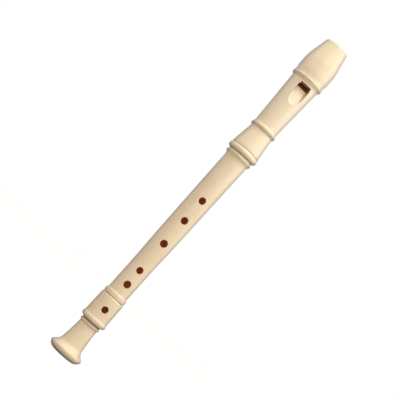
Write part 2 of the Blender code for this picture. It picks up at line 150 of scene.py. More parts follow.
def ringed(points: Sequence[Point]) -> list[Point]:
    """Put rings along the long straight stretches of a closed outline, for even shading at the holes.

    Args:
        points: Corners of the outline in order.

    Returns:
        The same outline with no stretch longer than RING_SPACING.
    """
    result = []
    for index, point in enumerate(points):
        before = Vector(points[index - 1])
        along = Vector(point) - before
        count = max(1, math.ceil(along.length / RING_SPACING))
        result += [tuple(before + along * (step / count)) for step in range(1, count + 1)]
    return result


def finished_object(bm: bmesh.types.BMesh, name: str) -> Object:
    """Turn a bmesh into a smooth shaded object in the scene.

    Args:
        bm: The closed mesh, which is freed.
        name: Name of the piece.

    Returns:
        The new object.
    """
    bmesh.ops.recalc_face_normals(bm, faces=bm.faces)
    mesh = bpy.data.meshes.new(name)
    bm.to_mesh(mesh)
    bm.free()
    piece = bpy.data.objects.new(name, mesh)
    bpy.context.scene.collection.objects.link(piece)
    return piece


def turned(outline: Sequence[Point], name: str) -> Object:
    """Spin a closed outline about the bore.

    Args:
        outline: Closed outline of (radius, height).
        name: Name of the piece.

    Returns:
        The turned object.
    """
    bm = bmesh.new()
    corners = [bm.verts.new((radius, 0.0, height)) for radius, height in ringed(softened(outline))]
    edges = [bm.edges.new((corners[index - 1], corner)) for index, corner in enumerate(corners)]
    bmesh.ops.spin(bm, geom=corners + edges, cent=(0, 0, 0), axis=(0, 0, 1),
                   angle=2 * math.pi, steps=TURNED_SEGMENTS, use_merge=True)
    bmesh.ops.remove_doubles(bm, verts=bm.verts, dist=WELD_DISTANCE)
    return finished_object(bm, name)


def lofted(sections: Sequence[Sequence[Sequence[float]]], name: str) -> Object:
    """Join closed sections of equal counts and cap both ends.

    Args:
        sections: Rings of (x, y, z) points.
        name: Name of the solid.

    Returns:
        The closed solid.
    """
    bm = bmesh.new()
    rings = [[bm.verts.new(point) for point in section] for section in sections]
    for low, high in zip(rings, rings[1:]):
        for index in range(len(low)):
            bm.faces.new((low[index - 1], low[index], high[index], high[index - 1]))
    bm.faces.new(rings[0])
    bm.faces.new(rings[-1])
    return finished_object(bm, name)


def carve(piece: Object, cutters: Iterable[Object]) -> None:
    """Cut solids out of a piece one after the other, and delete the solids.

    Args:
        piece: The object that is cut.
        cutters: Closed solids.
    """
    for cutter in cutters:
        modifier = piece.modifiers.new("cut", "BOOLEAN")
        modifier.operation = "DIFFERENCE"
        modifier.solver = "EXACT"
        modifier.object = cutter
        depsgraph = bpy.context.evaluated_depsgraph_get()
        mesh = bpy.data.meshes.new_from_object(piece.evaluated_get(depsgraph))
        piece.modifiers.clear()
        old, piece.data = piece.data, mesh
        bpy.data.meshes.remove(old)
        spent = cutter.data
        bpy.data.objects.remove(cutter, do_unlink=True)
        bpy.data.meshes.remove(spent)
    piece.data.name = piece.name


def dress(piece: Object, finish: Material, inside: Material,
          holes: Sequence["ToneHole"] = ()) -> None:
    """Shade a piece smooth with crisp edges, and give its bore and hole walls a material of painted shade.

    Args:
        piece: The finished mesh.
        finish: Material of the outside.
        inside: Material of painted shade for the bore and the holes' walls.
        holes: The tone holes in the piece.
    """
    piece.data.shade_smooth()
    piece.data.set_sharp_from_angle(angle=SHARP_ANGLE)
    piece.data.materials.append(finish)
    piece.data.materials.append(inside)
    for face in piece.data.polygons:
        outward = Vector((face.center.x, face.center.y, 0.0))
        faces_axis = outward.length > SAME_PLACE and face.normal.dot(outward.normalized()) < INWARD
        in_hole = any(hole.holds(face.center, face.normal) for hole in holes)
        face.material_index = 1 if faces_axis or in_hole else 0


def slab(stations: Sequence[tuple[float, float, float, float]], name: str) -> Object:
    """Make a four-sided cutter.

    Args:
        stations: Each station's height, half width, front reach and back reach.
        name: Name of the cutter.

    Returns:
        The closed cutter.
    """
    sections = []
    for height, half, front, back in stations:
        sections.append([(-half, -back, height), (-half, -front, height),
                         (half, -front, height), (half, -back, height)])
    return lofted(sections, name)


def fill(node: Node, values: dict) -> None:
    """Set values of a node's inputs, by name or number."""
    for socket, value in values.items():
        node.inputs[socket].default_value = value


def add_node(tree: NodeTree, kind: str, values: dict | None = None, **settings: object) -> Node:
    """Add a shader node to a tree.

    Args:
        tree: The node tree.
        kind: The node's type, without the word ShaderNode.
        values: Values of its inputs, by name or number.
        settings: Its settings by name.

    Returns:
        The node.
    """
    node = tree.nodes.new("ShaderNode" + kind)
    for setting, value in settings.items():
        setattr(node, setting, value)
    fill(node, values or {})
    return node


def wire(tree: NodeTree, *links: tuple) -> None:
    """Link nodes.

    Args:
        tree: The node tree.
        links: Each link's first node, its output, the second node and its input.
    """
    for source, output, target, socket in links:
        tree.links.new(source.outputs[output], target.inputs[socket])


def new_material(name: str) -> tuple[Material, NodeTree, Node]:
    """Start a material.

    Args:
        name: Name of the material.

    Returns:
        The material, its node tree and its Principled shader.
    """
    material = bpy.data.materials.new(name)
    material.use_nodes = True
    return material, material.node_tree, material.node_tree.nodes["Principled BSDF"]


@dataclass(frozen=True)
class ToneHole:
    """A tone hole: its height, its diameter, the wall's radius there and the side it opens to."""

    height: float
    diameter: float
    wall_radius: float
    side: Side = Side.FRONT
    edge: float = 0.00035
    edge_steps: int = 6
    wall_share: float = 0.7
    wall_normal: float = 0.8
    reach: float = 0.006
    mouth: float = 2.4

    def holds(self, place: Vector, normal: Vector) -> bool:
        """Say whether a face lies on the hole's wall, below its rounded rim.

        Args:
            place: The face's centre.
            normal: The face's normal.

        Returns:
            True for a face of the wall.
        """
        across = math.hypot(place.x, place.z - self.height)
        within = across < self.diameter / 2 + self.edge * self.wall_share
        return place.y * self.side.value > 0 and within and abs(normal.y) < self.wall_normal

    def cutter(self) -> Object:
        """Make the drill that cuts the hole with a rounded rim."""
        half = self.diameter / 2
        face = self.wall_radius - half * half / (2 * self.wall_radius)
        stations = [(0.0, half)]
        for step in range(self.edge_steps + 1):
            angle = math.pi / 2 * step / self.edge_steps
            depth = face - self.edge * (1 - math.sin(angle))
            stations.append((depth, half + self.edge * (1 - math.cos(angle))))
        stations.append((face + self.reach, half + self.edge * self.mouth))
        sections = []
        for depth, radius in stations:
            ring = []
            for step in range(DRILL_SEGMENTS):
                angle = 2 * math.pi * (step + 0.5) / DRILL_SEGMENTS
                ring.append((radius * math.cos(angle), self.side.value * depth,
                             self.height + radius * math.sin(angle)))
            sections.append(ring)
        return lofted(sections, "drill")


@dataclass(frozen=True)
class IvoryPlastic:
    """Satin ivory moulding: a warm cloud and a fine grain, with painted shade on the side turned away and
    painted shade in the creases.
    """

    name: str
    base: Colour = (0.820, 0.672, 0.470)
    warm: Colour = (0.790, 0.600, 0.385)
    # The next two fields are painted shade on the side turned away from the camera: its colour and its
    # greatest share.
    rim: Colour = (0.360, 0.310, 0.250)
    painted_edge_shade_share: float = 0.90
    # The next two fields are painted shade in creases and grooves: its colour and how far the occlusion
    # looks.
    painted_crease_shade: Colour = (0.300, 0.190, 0.110)
    painted_crease_shade_reach: float = 0.0030
    roughness: float = 0.30

    def build(self, groups: "Effects") -> Material:
        """Make the material.

        Args:
            groups: The shader node groups that all finishes share.

        Returns:
            The material.
        """
        material, tree, shader = new_material(self.name)
        values = {"Light Colour": (*self.base, 1.0), "Warm Colour": (*self.warm, 1.0),
                  "Roughness": self.roughness}
        cloud = add_node(tree, "Group", values, node_tree=groups.cloud)
        bump = add_node(tree, "Bump", {"Strength": 0.12, "Distance": 0.0002})
        # Painted shade towards the silhouette, mixed in by how far the surface turns away.
        facing = add_node(tree, "LayerWeight", {"Blend": 0.5})
        span = add_node(tree, "MapRange", {"From Min": 0.30, "From Max": 0.80, "To Max": self.painted_edge_shade_share},
                        interpolation_type="SMOOTHSTEP")
        edge = add_node(tree, "Mix", {"B": (*self.rim, 1.0)}, data_type="RGBA")
        # Painted shade in creases, from ambient occlusion within the piece.
        hollow = add_node(tree, "AmbientOcclusion", {"Distance": self.painted_crease_shade_reach}, samples=16,
                          only_local=True)
        deep_painted_shade = add_node(tree, "MapRange", {"From Min": 0.90, "From Max": 0.35})
        painted_crease_shade = add_node(tree, "Mix", {"B": (*self.painted_crease_shade, 1.0)}, data_type="RGBA")
        fill(shader, {"IOR": 1.50})
        wire(tree,
             (facing, "Facing", span, "Value"), (span, "Result", edge, "Factor"),
             (cloud, "Colour", edge, "A"), (hollow, "AO", deep_painted_shade, "Value"), (deep_painted_shade, "Result", painted_crease_shade, "Factor"),
             (edge, "Result", painted_crease_shade, "A"), (painted_crease_shade, "Result", shader, "Base Color"),
             (cloud, "Roughness", shader, "Roughness"), (cloud, "Height", bump, "Height"),
             (bump, "Normal", shader, "Normal"))
        return material


@dataclass(frozen=True)
class PaintedShadeBore:
    """The inside of a joint, all painted shade: orange-brown deep in the bore and darker on the walls of the
    holes, with a faint painted glow for light bounced inside.
    """

    name: str
    # Painted shade deep in the bore, darker painted shade on the hole walls, and a faint painted glow for
    # light bounced inside the bore.
    deep_painted_shade: Colour = (0.960, 0.450, 0.190)
    wall: Colour = (0.400, 0.190, 0.090)
    painted_bounce_glow: Colour = (1.000, 0.420, 0.180)
    painted_bounce_glow_strength: float = 0.008
    bore_radius: float = 0.0070
    fade: float = 0.0015

    def build(self, groups: "Effects") -> Material:
        """Make the material.

        Args:
            groups: The shader node groups that all finishes share.

        Returns:
            The material.
        """
        material, tree, shader = new_material(self.name)
        values = {"Bore Radius": self.bore_radius, "Fade": self.fade,
                  "Inner Colour": (*self.deep_painted_shade, 1.0), "Colour": (*self.wall, 1.0)}
        bore = add_node(tree, "Group", values, node_tree=groups.bore)
        # The emission is painted light: a faint glow for light bounced inside the bore.
        fill(shader, {"Roughness": 0.55, "Specular IOR Level": 0.2,
                      "Emission Color": (*self.painted_bounce_glow, 1.0), "Emission Strength": self.painted_bounce_glow_strength})
        wire(tree, (bore, "Colour", shader, "Base Color"))
        return material


class Effects:
    """Shader node groups that the finishes share."""

    def __init__(self) -> None:
        """Build each group once."""
        self.cloud = self._cloud()
        self.bore = self._bore()

    @staticmethod
    def _group(name: str, inputs: Sequence[tuple[str, str]],
               outputs: Sequence[tuple[str, str]]) -> tuple[ShaderNodeTree, Node, Node]:
        """Start a node group.

        Args:
            name: Name of the group.
            inputs: Socket names and kinds.
            outputs: Socket names and kinds.

        Returns:
            The group, its input node and its output node.
        """
        tree = bpy.data.node_groups.new(name, "ShaderNodeTree")
        for socket, kind in inputs:
            tree.interface.new_socket(name=socket, in_out="INPUT", socket_type="NodeSocket" + kind)
        for socket, kind in outputs:
            tree.interface.new_socket(name=socket, in_out="OUTPUT", socket_type="NodeSocket" + kind)
        return tree, tree.nodes.new("NodeGroupInput"), tree.nodes.new("NodeGroupOutput")

    def _cloud(self) -> ShaderNodeTree:
        """Make the group of warm clouds, flow streaks along the bore and a fine moulded grain."""
        tree, given, result = self._group(
            "moulding_cloud",
            (("Light Colour", "Color"), ("Warm Colour", "Color"), ("Roughness", "Float")),
            (("Colour", "Color"), ("Roughness", "Float"), ("Height", "Float")))
        place = add_node(tree, "TexCoord")
        stretch = add_node(tree, "Mapping", {"Scale": (1.0, 1.0, 0.35)})
        clouds = add_node(tree, "TexNoise", {"Scale": 95.0, "Detail": 4.0})
        grain = add_node(tree, "TexNoise", {"Scale": 2600.0, "Detail": 2.0})
        span = add_node(tree, "MapRange", {"From Min": 0.42, "From Max": 0.75})
        mix = add_node(tree, "Mix", data_type="RGBA")
        rough = add_node(tree, "Math", {1: 0.10}, operation="MULTIPLY_ADD")
        wire(tree,
             (place, "Object", stretch, "Vector"), (stretch, "Vector", clouds, "Vector"),
             (place, "Object", grain, "Vector"), (clouds, "Fac", span, "Value"),
             (span, "Result", mix, "Factor"), (given, "Light Colour", mix, "A"),
             (given, "Warm Colour", mix, "B"), (clouds, "Fac", rough, 0), (given, "Roughness", rough, 2),
             (mix, "Result", result, "Colour"), (rough, "Value", result, "Roughness"),
             (grain, "Fac", result, "Height"))
        return tree

    def _bore(self) -> ShaderNodeTree:
        """Make the group that paints darker shade on the holes' walls, by the distance from the bore's axis.
        """
        tree, given, result = self._group(
            "bore_shade",
            (("Colour", "Color"), ("Inner Colour", "Color"), ("Bore Radius", "Float"), ("Fade", "Float")),
            (("Colour", "Color"),))
        place = add_node(tree, "TexCoord")
        flat = add_node(tree, "VectorMath", {1: (1.0, 1.0, 0.0)}, operation="MULTIPLY")
        reach = add_node(tree, "VectorMath", operation="LENGTH")
        outer = add_node(tree, "Math", operation="ADD")
        span = add_node(tree, "MapRange")
        mix = add_node(tree, "Mix", data_type="RGBA")
        wire(tree,
             (place, "Object", flat, 0), (flat, "Vector", reach, 0), (reach, "Value", span, "Value"),
             (given, "Bore Radius", span, "From Min"), (given, "Bore Radius", outer, 0),
             (given, "Fade", outer, 1), (outer, "Value", span, "From Max"), (span, "Result", mix, "Factor"),
             (given, "Inner Colour", mix, "A"), (given, "Colour", mix, "B"),
             (mix, "Result", result, "Colour"))
        return tree


@dataclass
class FootJoint:
    """The foot joint: bell, neck, small ring, bead and barrel with one hole."""

    length: float = 0.0593
    bell_radius: float = 0.0149
    seat_radius: float = 0.0075
    mouth_radius: float = 0.0060
    rim_height: float = 0.0046
    crown_height: float = 0.0015
    flare_height: float = 0.0069
    bell_neck: float = 0.0098
    neck_radius: float = 0.0082
    neck_length: float = 0.0178
    ring_width: float = 0.0024
    ring_rise: float = 0.0007
    ring_gap: float = 0.0010
    bead_width: float = 0.0049
    bead_pull: float = 0.0121
    bead_lag: float = 0.0004
    bead_belly: Point = (0.08, 0.66)
    barrel_low: float = 0.0107
    barrel_top: float = 0.0104
    bore: float = 0.0046
    bore_top: float = 0.0048
    socket_radius: float = 0.0079
    socket_depth: float = 0.0078
    mouth_depth: float = 0.0200
    chamfer: float = 0.0004
    edge_fall: float = 0.0010
    edge_width: float = 0.0007
    hole_below: float = 0.0112
    hole_diameter: float = 0.0053
    crown_share: float = 0.11
    flare_pulls: tuple[Point, Point] = ((0.45, 0.19), (0.04, 0.42))
    neck_pulls: tuple[Point, Point] = ((0.3, 0.17), (0.2, 0.6))
    rim_steps: int = 24

    def _bell(self) -> list[Point]:
        """Outline of the bell and neck, upwards."""
        rim = []
        for step in range(self.rim_steps + 1):
            angle = math.pi / 2 * step / self.rim_steps
            reach = (self.bell_radius - self.seat_radius) * math.sin(angle)
            rim.append((self.seat_radius + reach, self.rim_height * (1 - math.cos(angle))))
        top = self.rim_height + self.crown_height
        drop = self.bell_radius - self.bell_neck
        crown = (self.bell_radius - self.crown_share * drop, top)
        pull = (self.bell_radius, self.rim_height + self.crown_height / 2)
        outline = rim + sweep(rim[-1], pull, pull, crown, steps=8)
        flare_top = top + self.flare_height
        leave, arrive = self.flare_pulls
        outline += sweep(crown, (self.bell_radius - leave[0] * drop, top + leave[1] * self.flare_height),
                         (self.bell_neck + arrive[0] * drop, top + arrive[1] * self.flare_height),
                         (self.bell_neck, flare_top), steps=24)
        taper = self.bell_neck - self.neck_radius
        leave, arrive = self.neck_pulls
        outline += sweep(outline[-1],
                         (self.bell_neck - leave[0] * taper, flare_top + leave[1] * self.neck_length),
                         (self.neck_radius + arrive[0] * taper, flare_top + arrive[1] * self.neck_length),
                         (self.neck_radius, flare_top + self.neck_length))
        return outline

    def outline(self) -> list[Point]:
        """Closed outline: outside up, socket and bore down."""
        outside = self._bell()
        height = outside[-1][1]
        ring_top = height + self.ring_width
        outside += half_round((self.neck_radius + self.ring_rise / 3, height),
                              (self.neck_radius + self.ring_rise / 2, ring_top), self.ring_rise, steps=12)
        bead_floor = ring_top + self.ring_gap
        bead_top = bead_floor + self.bead_width
        outside.append((self.neck_radius, bead_floor - self.ring_gap / 2))
        low, high = self.bead_belly
        outside += sweep((self.neck_radius + self.ring_rise, bead_floor),
                         (self.bead_pull - self.bead_lag, bead_floor + low * self.bead_width),
                         (self.bead_pull, bead_floor + high * self.bead_width),
                         (self.barrel_low, bead_top), steps=24)
        outside += [(self.barrel_top, self.length - self.edge_fall),
                    (self.barrel_top - self.edge_width, self.length)]
        floor = self.length - self.socket_depth
        inside = [(self.socket_radius + self.chamfer, self.length),
                  (self.socket_radius, self.length - self.chamfer),
                  (self.socket_radius, floor), (self.bore_top, floor)]
        inside += sweep((self.bore, self.mouth_depth), (self.bore, self.mouth_depth / 2),
                        (self.mouth_radius, self.mouth_depth / 4), (self.mouth_radius, 0.0))
        return outside + inside

    def build(self, finish: Material, inside: Material) -> Object:
        """Make and dress the foot joint.

        Args:
            finish: Its material.
            inside: Material of its bore.

        Returns:
            The piece, riding on its body.
        """
        piece = turned(self.outline(), "foot_joint_shell")
        hole = ToneHole(self.length - self.hole_below, self.hole_diameter, self.barrel_top)
        carve(piece, [hole.cutter()])
        dress(piece, finish, inside, [hole])
        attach(piece, "foot")
        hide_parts("foot_joint")
        return piece


@dataclass
class MiddleJoint:
    """The middle joint: a tapered tube with a ring, a flare, two tenons and the finger holes."""

    floor: float = 0.0596
    shoulder: float = 0.2086
    ring_radius: float = 0.0101
    ring_width: float = 0.0036
    low_radius: float = 0.0090
    waist_radius: float = 0.0091
    waist_height: float = 0.0330
    centre_radius: float = 0.00972
    centre_height: float = 0.0650
    top_radius: float = 0.0104
    flare_radius: float = 0.0121
    flare_height: float = 0.0055
    flare_edge: float = 0.0024
    edge_fall: float = 0.0012
    edge_rise: float = 0.0002
    recess_radius: float = 0.0113
    recess_lean: float = 0.1
    lower_tenon: float = 0.0078
    lower_tenon_length: float = 0.0078
    upper_tenon: float = 0.0087
    upper_tenon_length: float = 0.0210
    tenon_chamfer: float = 0.0005
    bore_top: float = 0.0066
    bore_low: float = 0.0049
    edge: float = 0.0004
    finger_holes: tuple[Point, ...] = ((0.0474, 0.0056), (0.0681, 0.0057), (0.0921, 0.0060),
                                       (0.1200, 0.0054), (0.1345, 0.0059))
    thumb_hole: Point = (0.0386, 0.0055)
    flank: tuple[Point, ...] = ((0.8, 0.3), (0.1, 0.7), (0.0, 1.0), (0.0, 1.6))
    waist_run: float = 0.010
    centre_run: float = 0.008
    centre_slope: float = 0.1
    flare_leave: Point = (0.1, 0.0012)
    flare_arrive: Point = (0.3, 0.0010)

    def outline(self) -> list[Point]:
        """Closed outline with both tenons."""
        ring_top = self.floor + self.ring_width
        step = self.ring_radius - self.low_radius
        low_end = self.floor - self.lower_tenon_length
        points = [(self.bore_low, low_end), (self.lower_tenon - self.tenon_chamfer, low_end),
                  (self.lower_tenon, low_end + self.tenon_chamfer), (self.lower_tenon, self.floor),
                  (self.ring_radius - self.edge, self.floor), (self.ring_radius, self.floor + self.edge),
                  (self.ring_radius, ring_top)]
        flank = [(self.low_radius + out * step, ring_top + up * step) for out, up in self.flank]
        points += sweep(*flank, steps=8)
        waist = self.floor + self.waist_height
        centre = self.floor + self.centre_height
        growth = self.top_radius - self.centre_radius
        points += sweep((self.waist_radius, waist), (self.waist_radius, waist + self.waist_run),
                        (self.centre_radius - self.centre_slope * growth, centre - self.centre_run),
                        (self.centre_radius, centre), steps=12)
        flare_foot = self.shoulder - self.flare_height
        spread = self.flare_radius - self.top_radius
        edge_foot = self.shoulder - self.flare_edge
        leave, arrive = self.flare_leave, self.flare_arrive
        points += sweep((self.top_radius, flare_foot),
                        (self.top_radius + leave[0] * spread, flare_foot + leave[1]),
                        (self.flare_radius - arrive[0] * spread, edge_foot - arrive[1]),
                        (self.flare_radius, edge_foot), steps=12)
        points += half_round((self.flare_radius, edge_foot), (self.recess_radius, edge_foot + self.edge_fall),
                             self.edge_rise, steps=10)
        points.append((self.recess_radius - self.recess_lean * spread, self.shoulder))
        top = self.shoulder + self.upper_tenon_length
        points += [(self.upper_tenon, self.shoulder), (self.upper_tenon, top - self.tenon_chamfer),
                   (self.upper_tenon - self.tenon_chamfer, top), (self.bore_top, top)]
        return points

    def radius_at(self, height: float) -> float:
        """Radius of the tube's outside at a height.

        Args:
            height: Height above the bell.

        Returns:
            The radius.
        """
        waist = self.floor + self.waist_height
        centre = self.floor + self.centre_height
        top = self.shoulder - self.flare_height
        if height < waist:
            return self.waist_radius
        if height < centre:
            share = (height - waist) / (centre - waist)
            return self.waist_radius + (self.centre_radius - self.waist_radius) * share
        share = (height - centre) / (top - centre)
        return self.centre_radius + (self.top_radius - self.centre_radius) * share

    def build(self, finish: Material, inside: Material) -> Object:
        """Make and dress the middle joint.

        Args:
            finish: Its material.
            inside: Material of its bore.

        Returns:
            The piece, riding on its body.
        """
        piece = turned(self.outline(), "middle_joint_tube")
        holes = []
        for below, diameter in self.finger_holes:
            height = self.shoulder - below
            holes.append(ToneHole(height, diameter, self.radius_at(height)))
        height = self.shoulder - self.thumb_hole[0]
        holes.append(ToneHole(height, self.thumb_hole[1], self.radius_at(height), Side.BACK))
        carve(piece, [hole.cutter() for hole in holes])
        dress(piece, finish, inside, holes)
        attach(piece, "middle")
        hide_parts("middle_joint")
        return piece


@dataclass
class HeadJoint:
    """The head joint: socket, cone, rings, tapered body, window, ramp, windway and beak."""

    floor: float = 0.2089
    length: float = 0.1156
    socket_foot: float = 0.0110
    bead_width: float = 0.0046
    bead_pull: float = 0.0143
    bead_lag: float = 0.0003
    bead_belly: Point = (0.07, 0.70)
    bead_top: float = 0.0130
    lip_width: float = 0.0005
    groove_width: float = 0.0005
    groove_depth: float = 0.0004
    cone_length: float = 0.0190
    cone_top: float = 0.01045
    mid_step: float = 0.0008
    mid_bead_width: float = 0.0010
    mid_bead_rise: float = 0.0007
    mid_fine_width: float = 0.0006
    mid_fine_rise: float = 0.0003
    mid_groove_width: float = 0.0002
    mid_bead_radius: float = 0.0112
    mid_fillet_width: float = 0.0026
    fillet_start: float = 0.0002
    fillet_leave: float = 0.0009
    fillet_arrive: float = 0.0006
    low_radius: float = 0.0106
    top_radius: float = 0.0126
    body_length: float = 0.0466
    cove_width: float = 0.0010
    cove_leave: float = 0.0001
    cove_arrive: float = 0.0003
    beak_bead_radius: float = 0.0136
    beak_fine_width: float = 0.0007
    beak_bead_width: float = 0.0018
    beak_bead_rise: float = 0.0006
    beak_bead_lean: float = 0.0001
    beak_fine_share: float = 0.6
    beak_groove_width: float = 0.0003
    hollow_length: float = 0.0064
    hollow_radius: float = 0.01385
    hollow_start: float = 0.0003
    hollow_dip: float = 0.0002
    hollow_run: float = 0.0025
    hollow_lag: float = 0.00005
    beak_radius: float = 0.0144
    beak_rest: float = 0.0030
    beak_start: float = 0.02
    beak_pulls: tuple[Point, Point] = ((0.08, 0.17), (0.26, 0.73))
    shoulder_length: float = 0.0092
    tip_radius: float = 0.0106
    tip_round: float = 0.0010
    tip_corner: float = 0.3
    cut_radius: float = 0.0460
    cut_length: float = 0.0270
    tip_back: float = 0.0015
    bore: float = 0.0069
    socket_radius: float = 0.0088
    socket_top: float = 0.2299
    window_width: float = 0.0099
    window_length: float = 0.0044
    windway_length: float = 0.0408
    exit_width: float = 0.0098
    entry_width: float = 0.0120
    windway_floor: float = 0.0070
    windway_past: float = 0.002
    exit_depth: float = 0.0011
    entry_depth: float = 0.0018
    labium_height: float = 0.0074
    labium_thickness: float = 0.0003
    ramp_length: float = 0.0156
    ramp_end: float = 0.0092
    ramp_spread: float = 0.0007
    ramp_lean: float = math.radians(9)
    ramp_fillet: float = 0.0004
    ramp_surface: float = 0.55
    ramp_opening: float = 0.3
    ramp_steps: int = 18
    ramp_bends: int = 8
    undercut_length: float = 0.0080
    block_clearance: float = 0.0001
    block_chamfer: float = 0.0004
    block_steps: int = 72
    cut_steps: int = 256
    reach: float = 0.030

    @property
    def tip(self) -> float:
        """Height of the beak's end."""
        return self.floor + self.length

    @property
    def window_top(self) -> float:
        """Height of the windway's exit."""
        return self.tip - self.windway_length

    @property
    def window_foot(self) -> float:
        """Height of the labium's edge."""
        return self.window_top - self.window_length

    def _socket(self) -> list[Point]:
        """Outline of the socket bead, groove, cone and middle ring, upwards."""
        bead_end = self.floor + self.bead_width
        low, high = self.bead_belly
        points = sweep((self.socket_foot, self.floor),
                       (self.bead_pull - self.bead_lag, self.floor + low * self.bead_width),
                       (self.bead_pull, self.floor + high * self.bead_width),
                       (self.bead_top, bead_end), steps=28)
        lip = bead_end + self.lip_width
        groove_end = lip + self.groove_width
        bottom = self.bead_top - self.groove_depth
        points += [(self.bead_top, lip), (bottom, lip + self.groove_width / 4),
                   (bottom, groove_end - self.groove_width / 4),
                   (self.bead_top - self.groove_depth / 4, groove_end)]
        cone_end = groove_end + self.cone_length
        step_end = cone_end + self.mid_step
        half_step = cone_end + self.mid_step / 2
        points += sweep((self.cone_top, cone_end), (self.cone_top, half_step),
                        (self.mid_bead_radius, half_step), (self.mid_bead_radius, step_end), steps=8)
        fine_end = step_end + self.mid_fine_width
        points += half_round((self.mid_bead_radius, step_end), (self.mid_bead_radius, fine_end),
                             self.mid_fine_rise, steps=10)
        groove_end = fine_end + self.mid_groove_width
        bead_end = groove_end + self.mid_bead_width
        points += half_round((self.mid_bead_radius, groove_end), (self.mid_bead_radius, bead_end),
                             self.mid_bead_rise)
        fillet_end = bead_end + self.mid_fillet_width
        points += sweep((self.mid_bead_radius + self.fillet_start, bead_end + self.fillet_start),
                        (self.mid_bead_radius, fillet_end - self.fillet_leave),
                        (self.low_radius, fillet_end - self.fillet_arrive),
                        (self.low_radius, fillet_end), steps=10)
        return points

    def _beak(self, body_floor: float) -> list[Point]:
        """Outline of the double ring and the beak, upwards.

        Args:
            body_floor: Height at which the tapered body starts.

        Returns:
            The points.
        """
        ring = body_floor + self.body_length
        cove = ring + self.cove_width
        points = sweep((self.top_radius, ring - self.cove_width), (self.top_radius + self.cove_leave, ring),
                       (self.top_radius + self.cove_arrive, cove - self.cove_arrive),
                       (self.beak_bead_radius, cove), steps=8)
        groove = cove + self.beak_fine_width
        bead_radius = self.beak_bead_radius + self.beak_bead_lean
        points += half_round((self.beak_bead_radius, cove), (bead_radius, groove),
                             self.beak_fine_share * self.beak_bead_rise, steps=12)
        second = groove + self.beak_groove_width
        second_top = second + self.beak_bead_width
        points += half_round((bead_radius, second), (self.hollow_radius, second_top),
                             self.beak_bead_rise, steps=12)
        shoulder = second_top + self.hollow_length
        points += sweep((self.hollow_radius, second_top + self.hollow_start),
                        (self.hollow_radius - self.hollow_dip, second_top + self.hollow_run),
                        (self.beak_radius - self.hollow_dip, shoulder - self.hollow_run),
                        (self.beak_radius - self.hollow_lag, shoulder), steps=14)
        points.append((self.beak_radius, shoulder + self.beak_rest))
        crest = shoulder + self.shoulder_length
        low = self.tip - self.tip_round
        run = low - crest
        fall = self.beak_radius - self.tip_radius
        leave, arrive = self.beak_pulls
        points += sweep((self.beak_radius - self.beak_start * fall, crest),
                        (self.beak_radius - leave[0] * fall, crest + leave[1] * run),
                        (self.tip_radius + arrive[0] * fall, crest + arrive[1] * run),
                        (self.tip_radius, low), steps=28)
        corner = self.tip_corner * self.tip_round
        points += [(self.tip_radius - corner, self.tip - corner),
                   (self.tip_radius - self.tip_round, self.tip)]
        return points

    def outline(self) -> list[Point]:
        """Closed outline: outside up, bore and socket down."""
        socket = self._socket()
        edge = self.groove_depth
        inside = [(self.bore, self.tip), (self.bore, self.socket_top), (self.socket_radius, self.socket_top),
                  (self.socket_radius, self.floor + edge), (self.socket_radius + edge, self.floor)]
        return socket + self._beak(socket[-1][1]) + inside

    def windway(self) -> Object:
        """Cutter of the channel above the block."""
        past = self.windway_past
        slope = (self.entry_depth - self.exit_depth) / self.windway_length
        spread = (self.entry_width - self.exit_width) / 2 / self.windway_length
        roof = self.windway_floor + self.exit_depth
        low = (self.window_top - past, self.exit_width / 2 - past * spread, roof - past * slope, 0.0)
        high = (self.tip + past, self.entry_width / 2 + past * spread,
                self.windway_floor + self.entry_depth + past * slope, 0.0)
        return slab((low, high), "windway_cutter")

    def window(self) -> Object:
        """Cutter of the window."""
        half = self.window_width / 2
        return slab(((self.window_foot, half, self.reach, 0.0), (self.window_top, half, self.reach, 0.0)),
                    "window_cutter")

    def undercut(self) -> Object:
        """Cutter of the slope under the labium."""
        half = self.exit_width / 2
        corner = math.sqrt(self.bore ** 2 - half ** 2)
        return slab(((self.window_foot - self.undercut_length, half, corner, 0.0),
                     (self.window_foot + self.window_length / 2, half,
                      self.labium_height - self.labium_thickness, 0.0)), "undercut_cutter")

    def ramp(self) -> Object:
        """Cutter of the ramp: flat floor, filleted walls and a rounded lower end."""
        surface = self.low_radius + (self.top_radius - self.low_radius) * self.ramp_surface
        slope = (surface - self.labium_height) / self.ramp_length
        widest = self.window_foot - (self.ramp_length - self.ramp_end)
        heights = [self.window_foot + self.window_length / 2, self.window_foot, widest]
        for step in range(1, self.ramp_steps):
            heights.append(widest - self.ramp_end * math.sin(math.pi / 2 * step / self.ramp_steps))
        sections = []
        for height in heights:
            fall = max(0.0, widest - height) / self.ramp_end
            share = min(1.0, (self.window_foot - height) / self.ramp_length + self.ramp_opening)
            half = (self.window_width / 2 + self.ramp_spread * share) * math.sqrt(1 - fall * fall)
            floor = self.labium_height + slope * (self.window_foot - height)
            fillet = min(self.ramp_fillet, half / 2)
            sections.append(self._ramp_section(height, half, floor, fillet))
        return lofted(sections, "ramp_cutter")

    def _ramp_section(self, height: float, half: float, floor: float, fillet: float) -> list[tuple]:
        """One section of the ramp's cutter.

        Args:
            height: Height above the bell.
            half: Half of the width.
            floor: Distance of the ramp's floor from the axis.
            fillet: Radius between the floor and the walls.

        Returns:
            The points.
        """
        lean = (self.reach - floor) * math.tan(self.ramp_lean)
        bends = []
        for step in range(self.ramp_bends + 1):
            angle = math.pi / 2 * step / self.ramp_bends
            bends.append((fillet * (1 - math.cos(angle)), fillet * (1 - math.sin(angle))))
        section = [(-half - lean, -self.reach, height)]
        section += [(-half + inward, -floor - outward, height) for inward, outward in bends]
        section += [(half - outward, -floor - inward, height) for inward, outward in bends]
        section.append((half + lean, -self.reach, height))
        return section

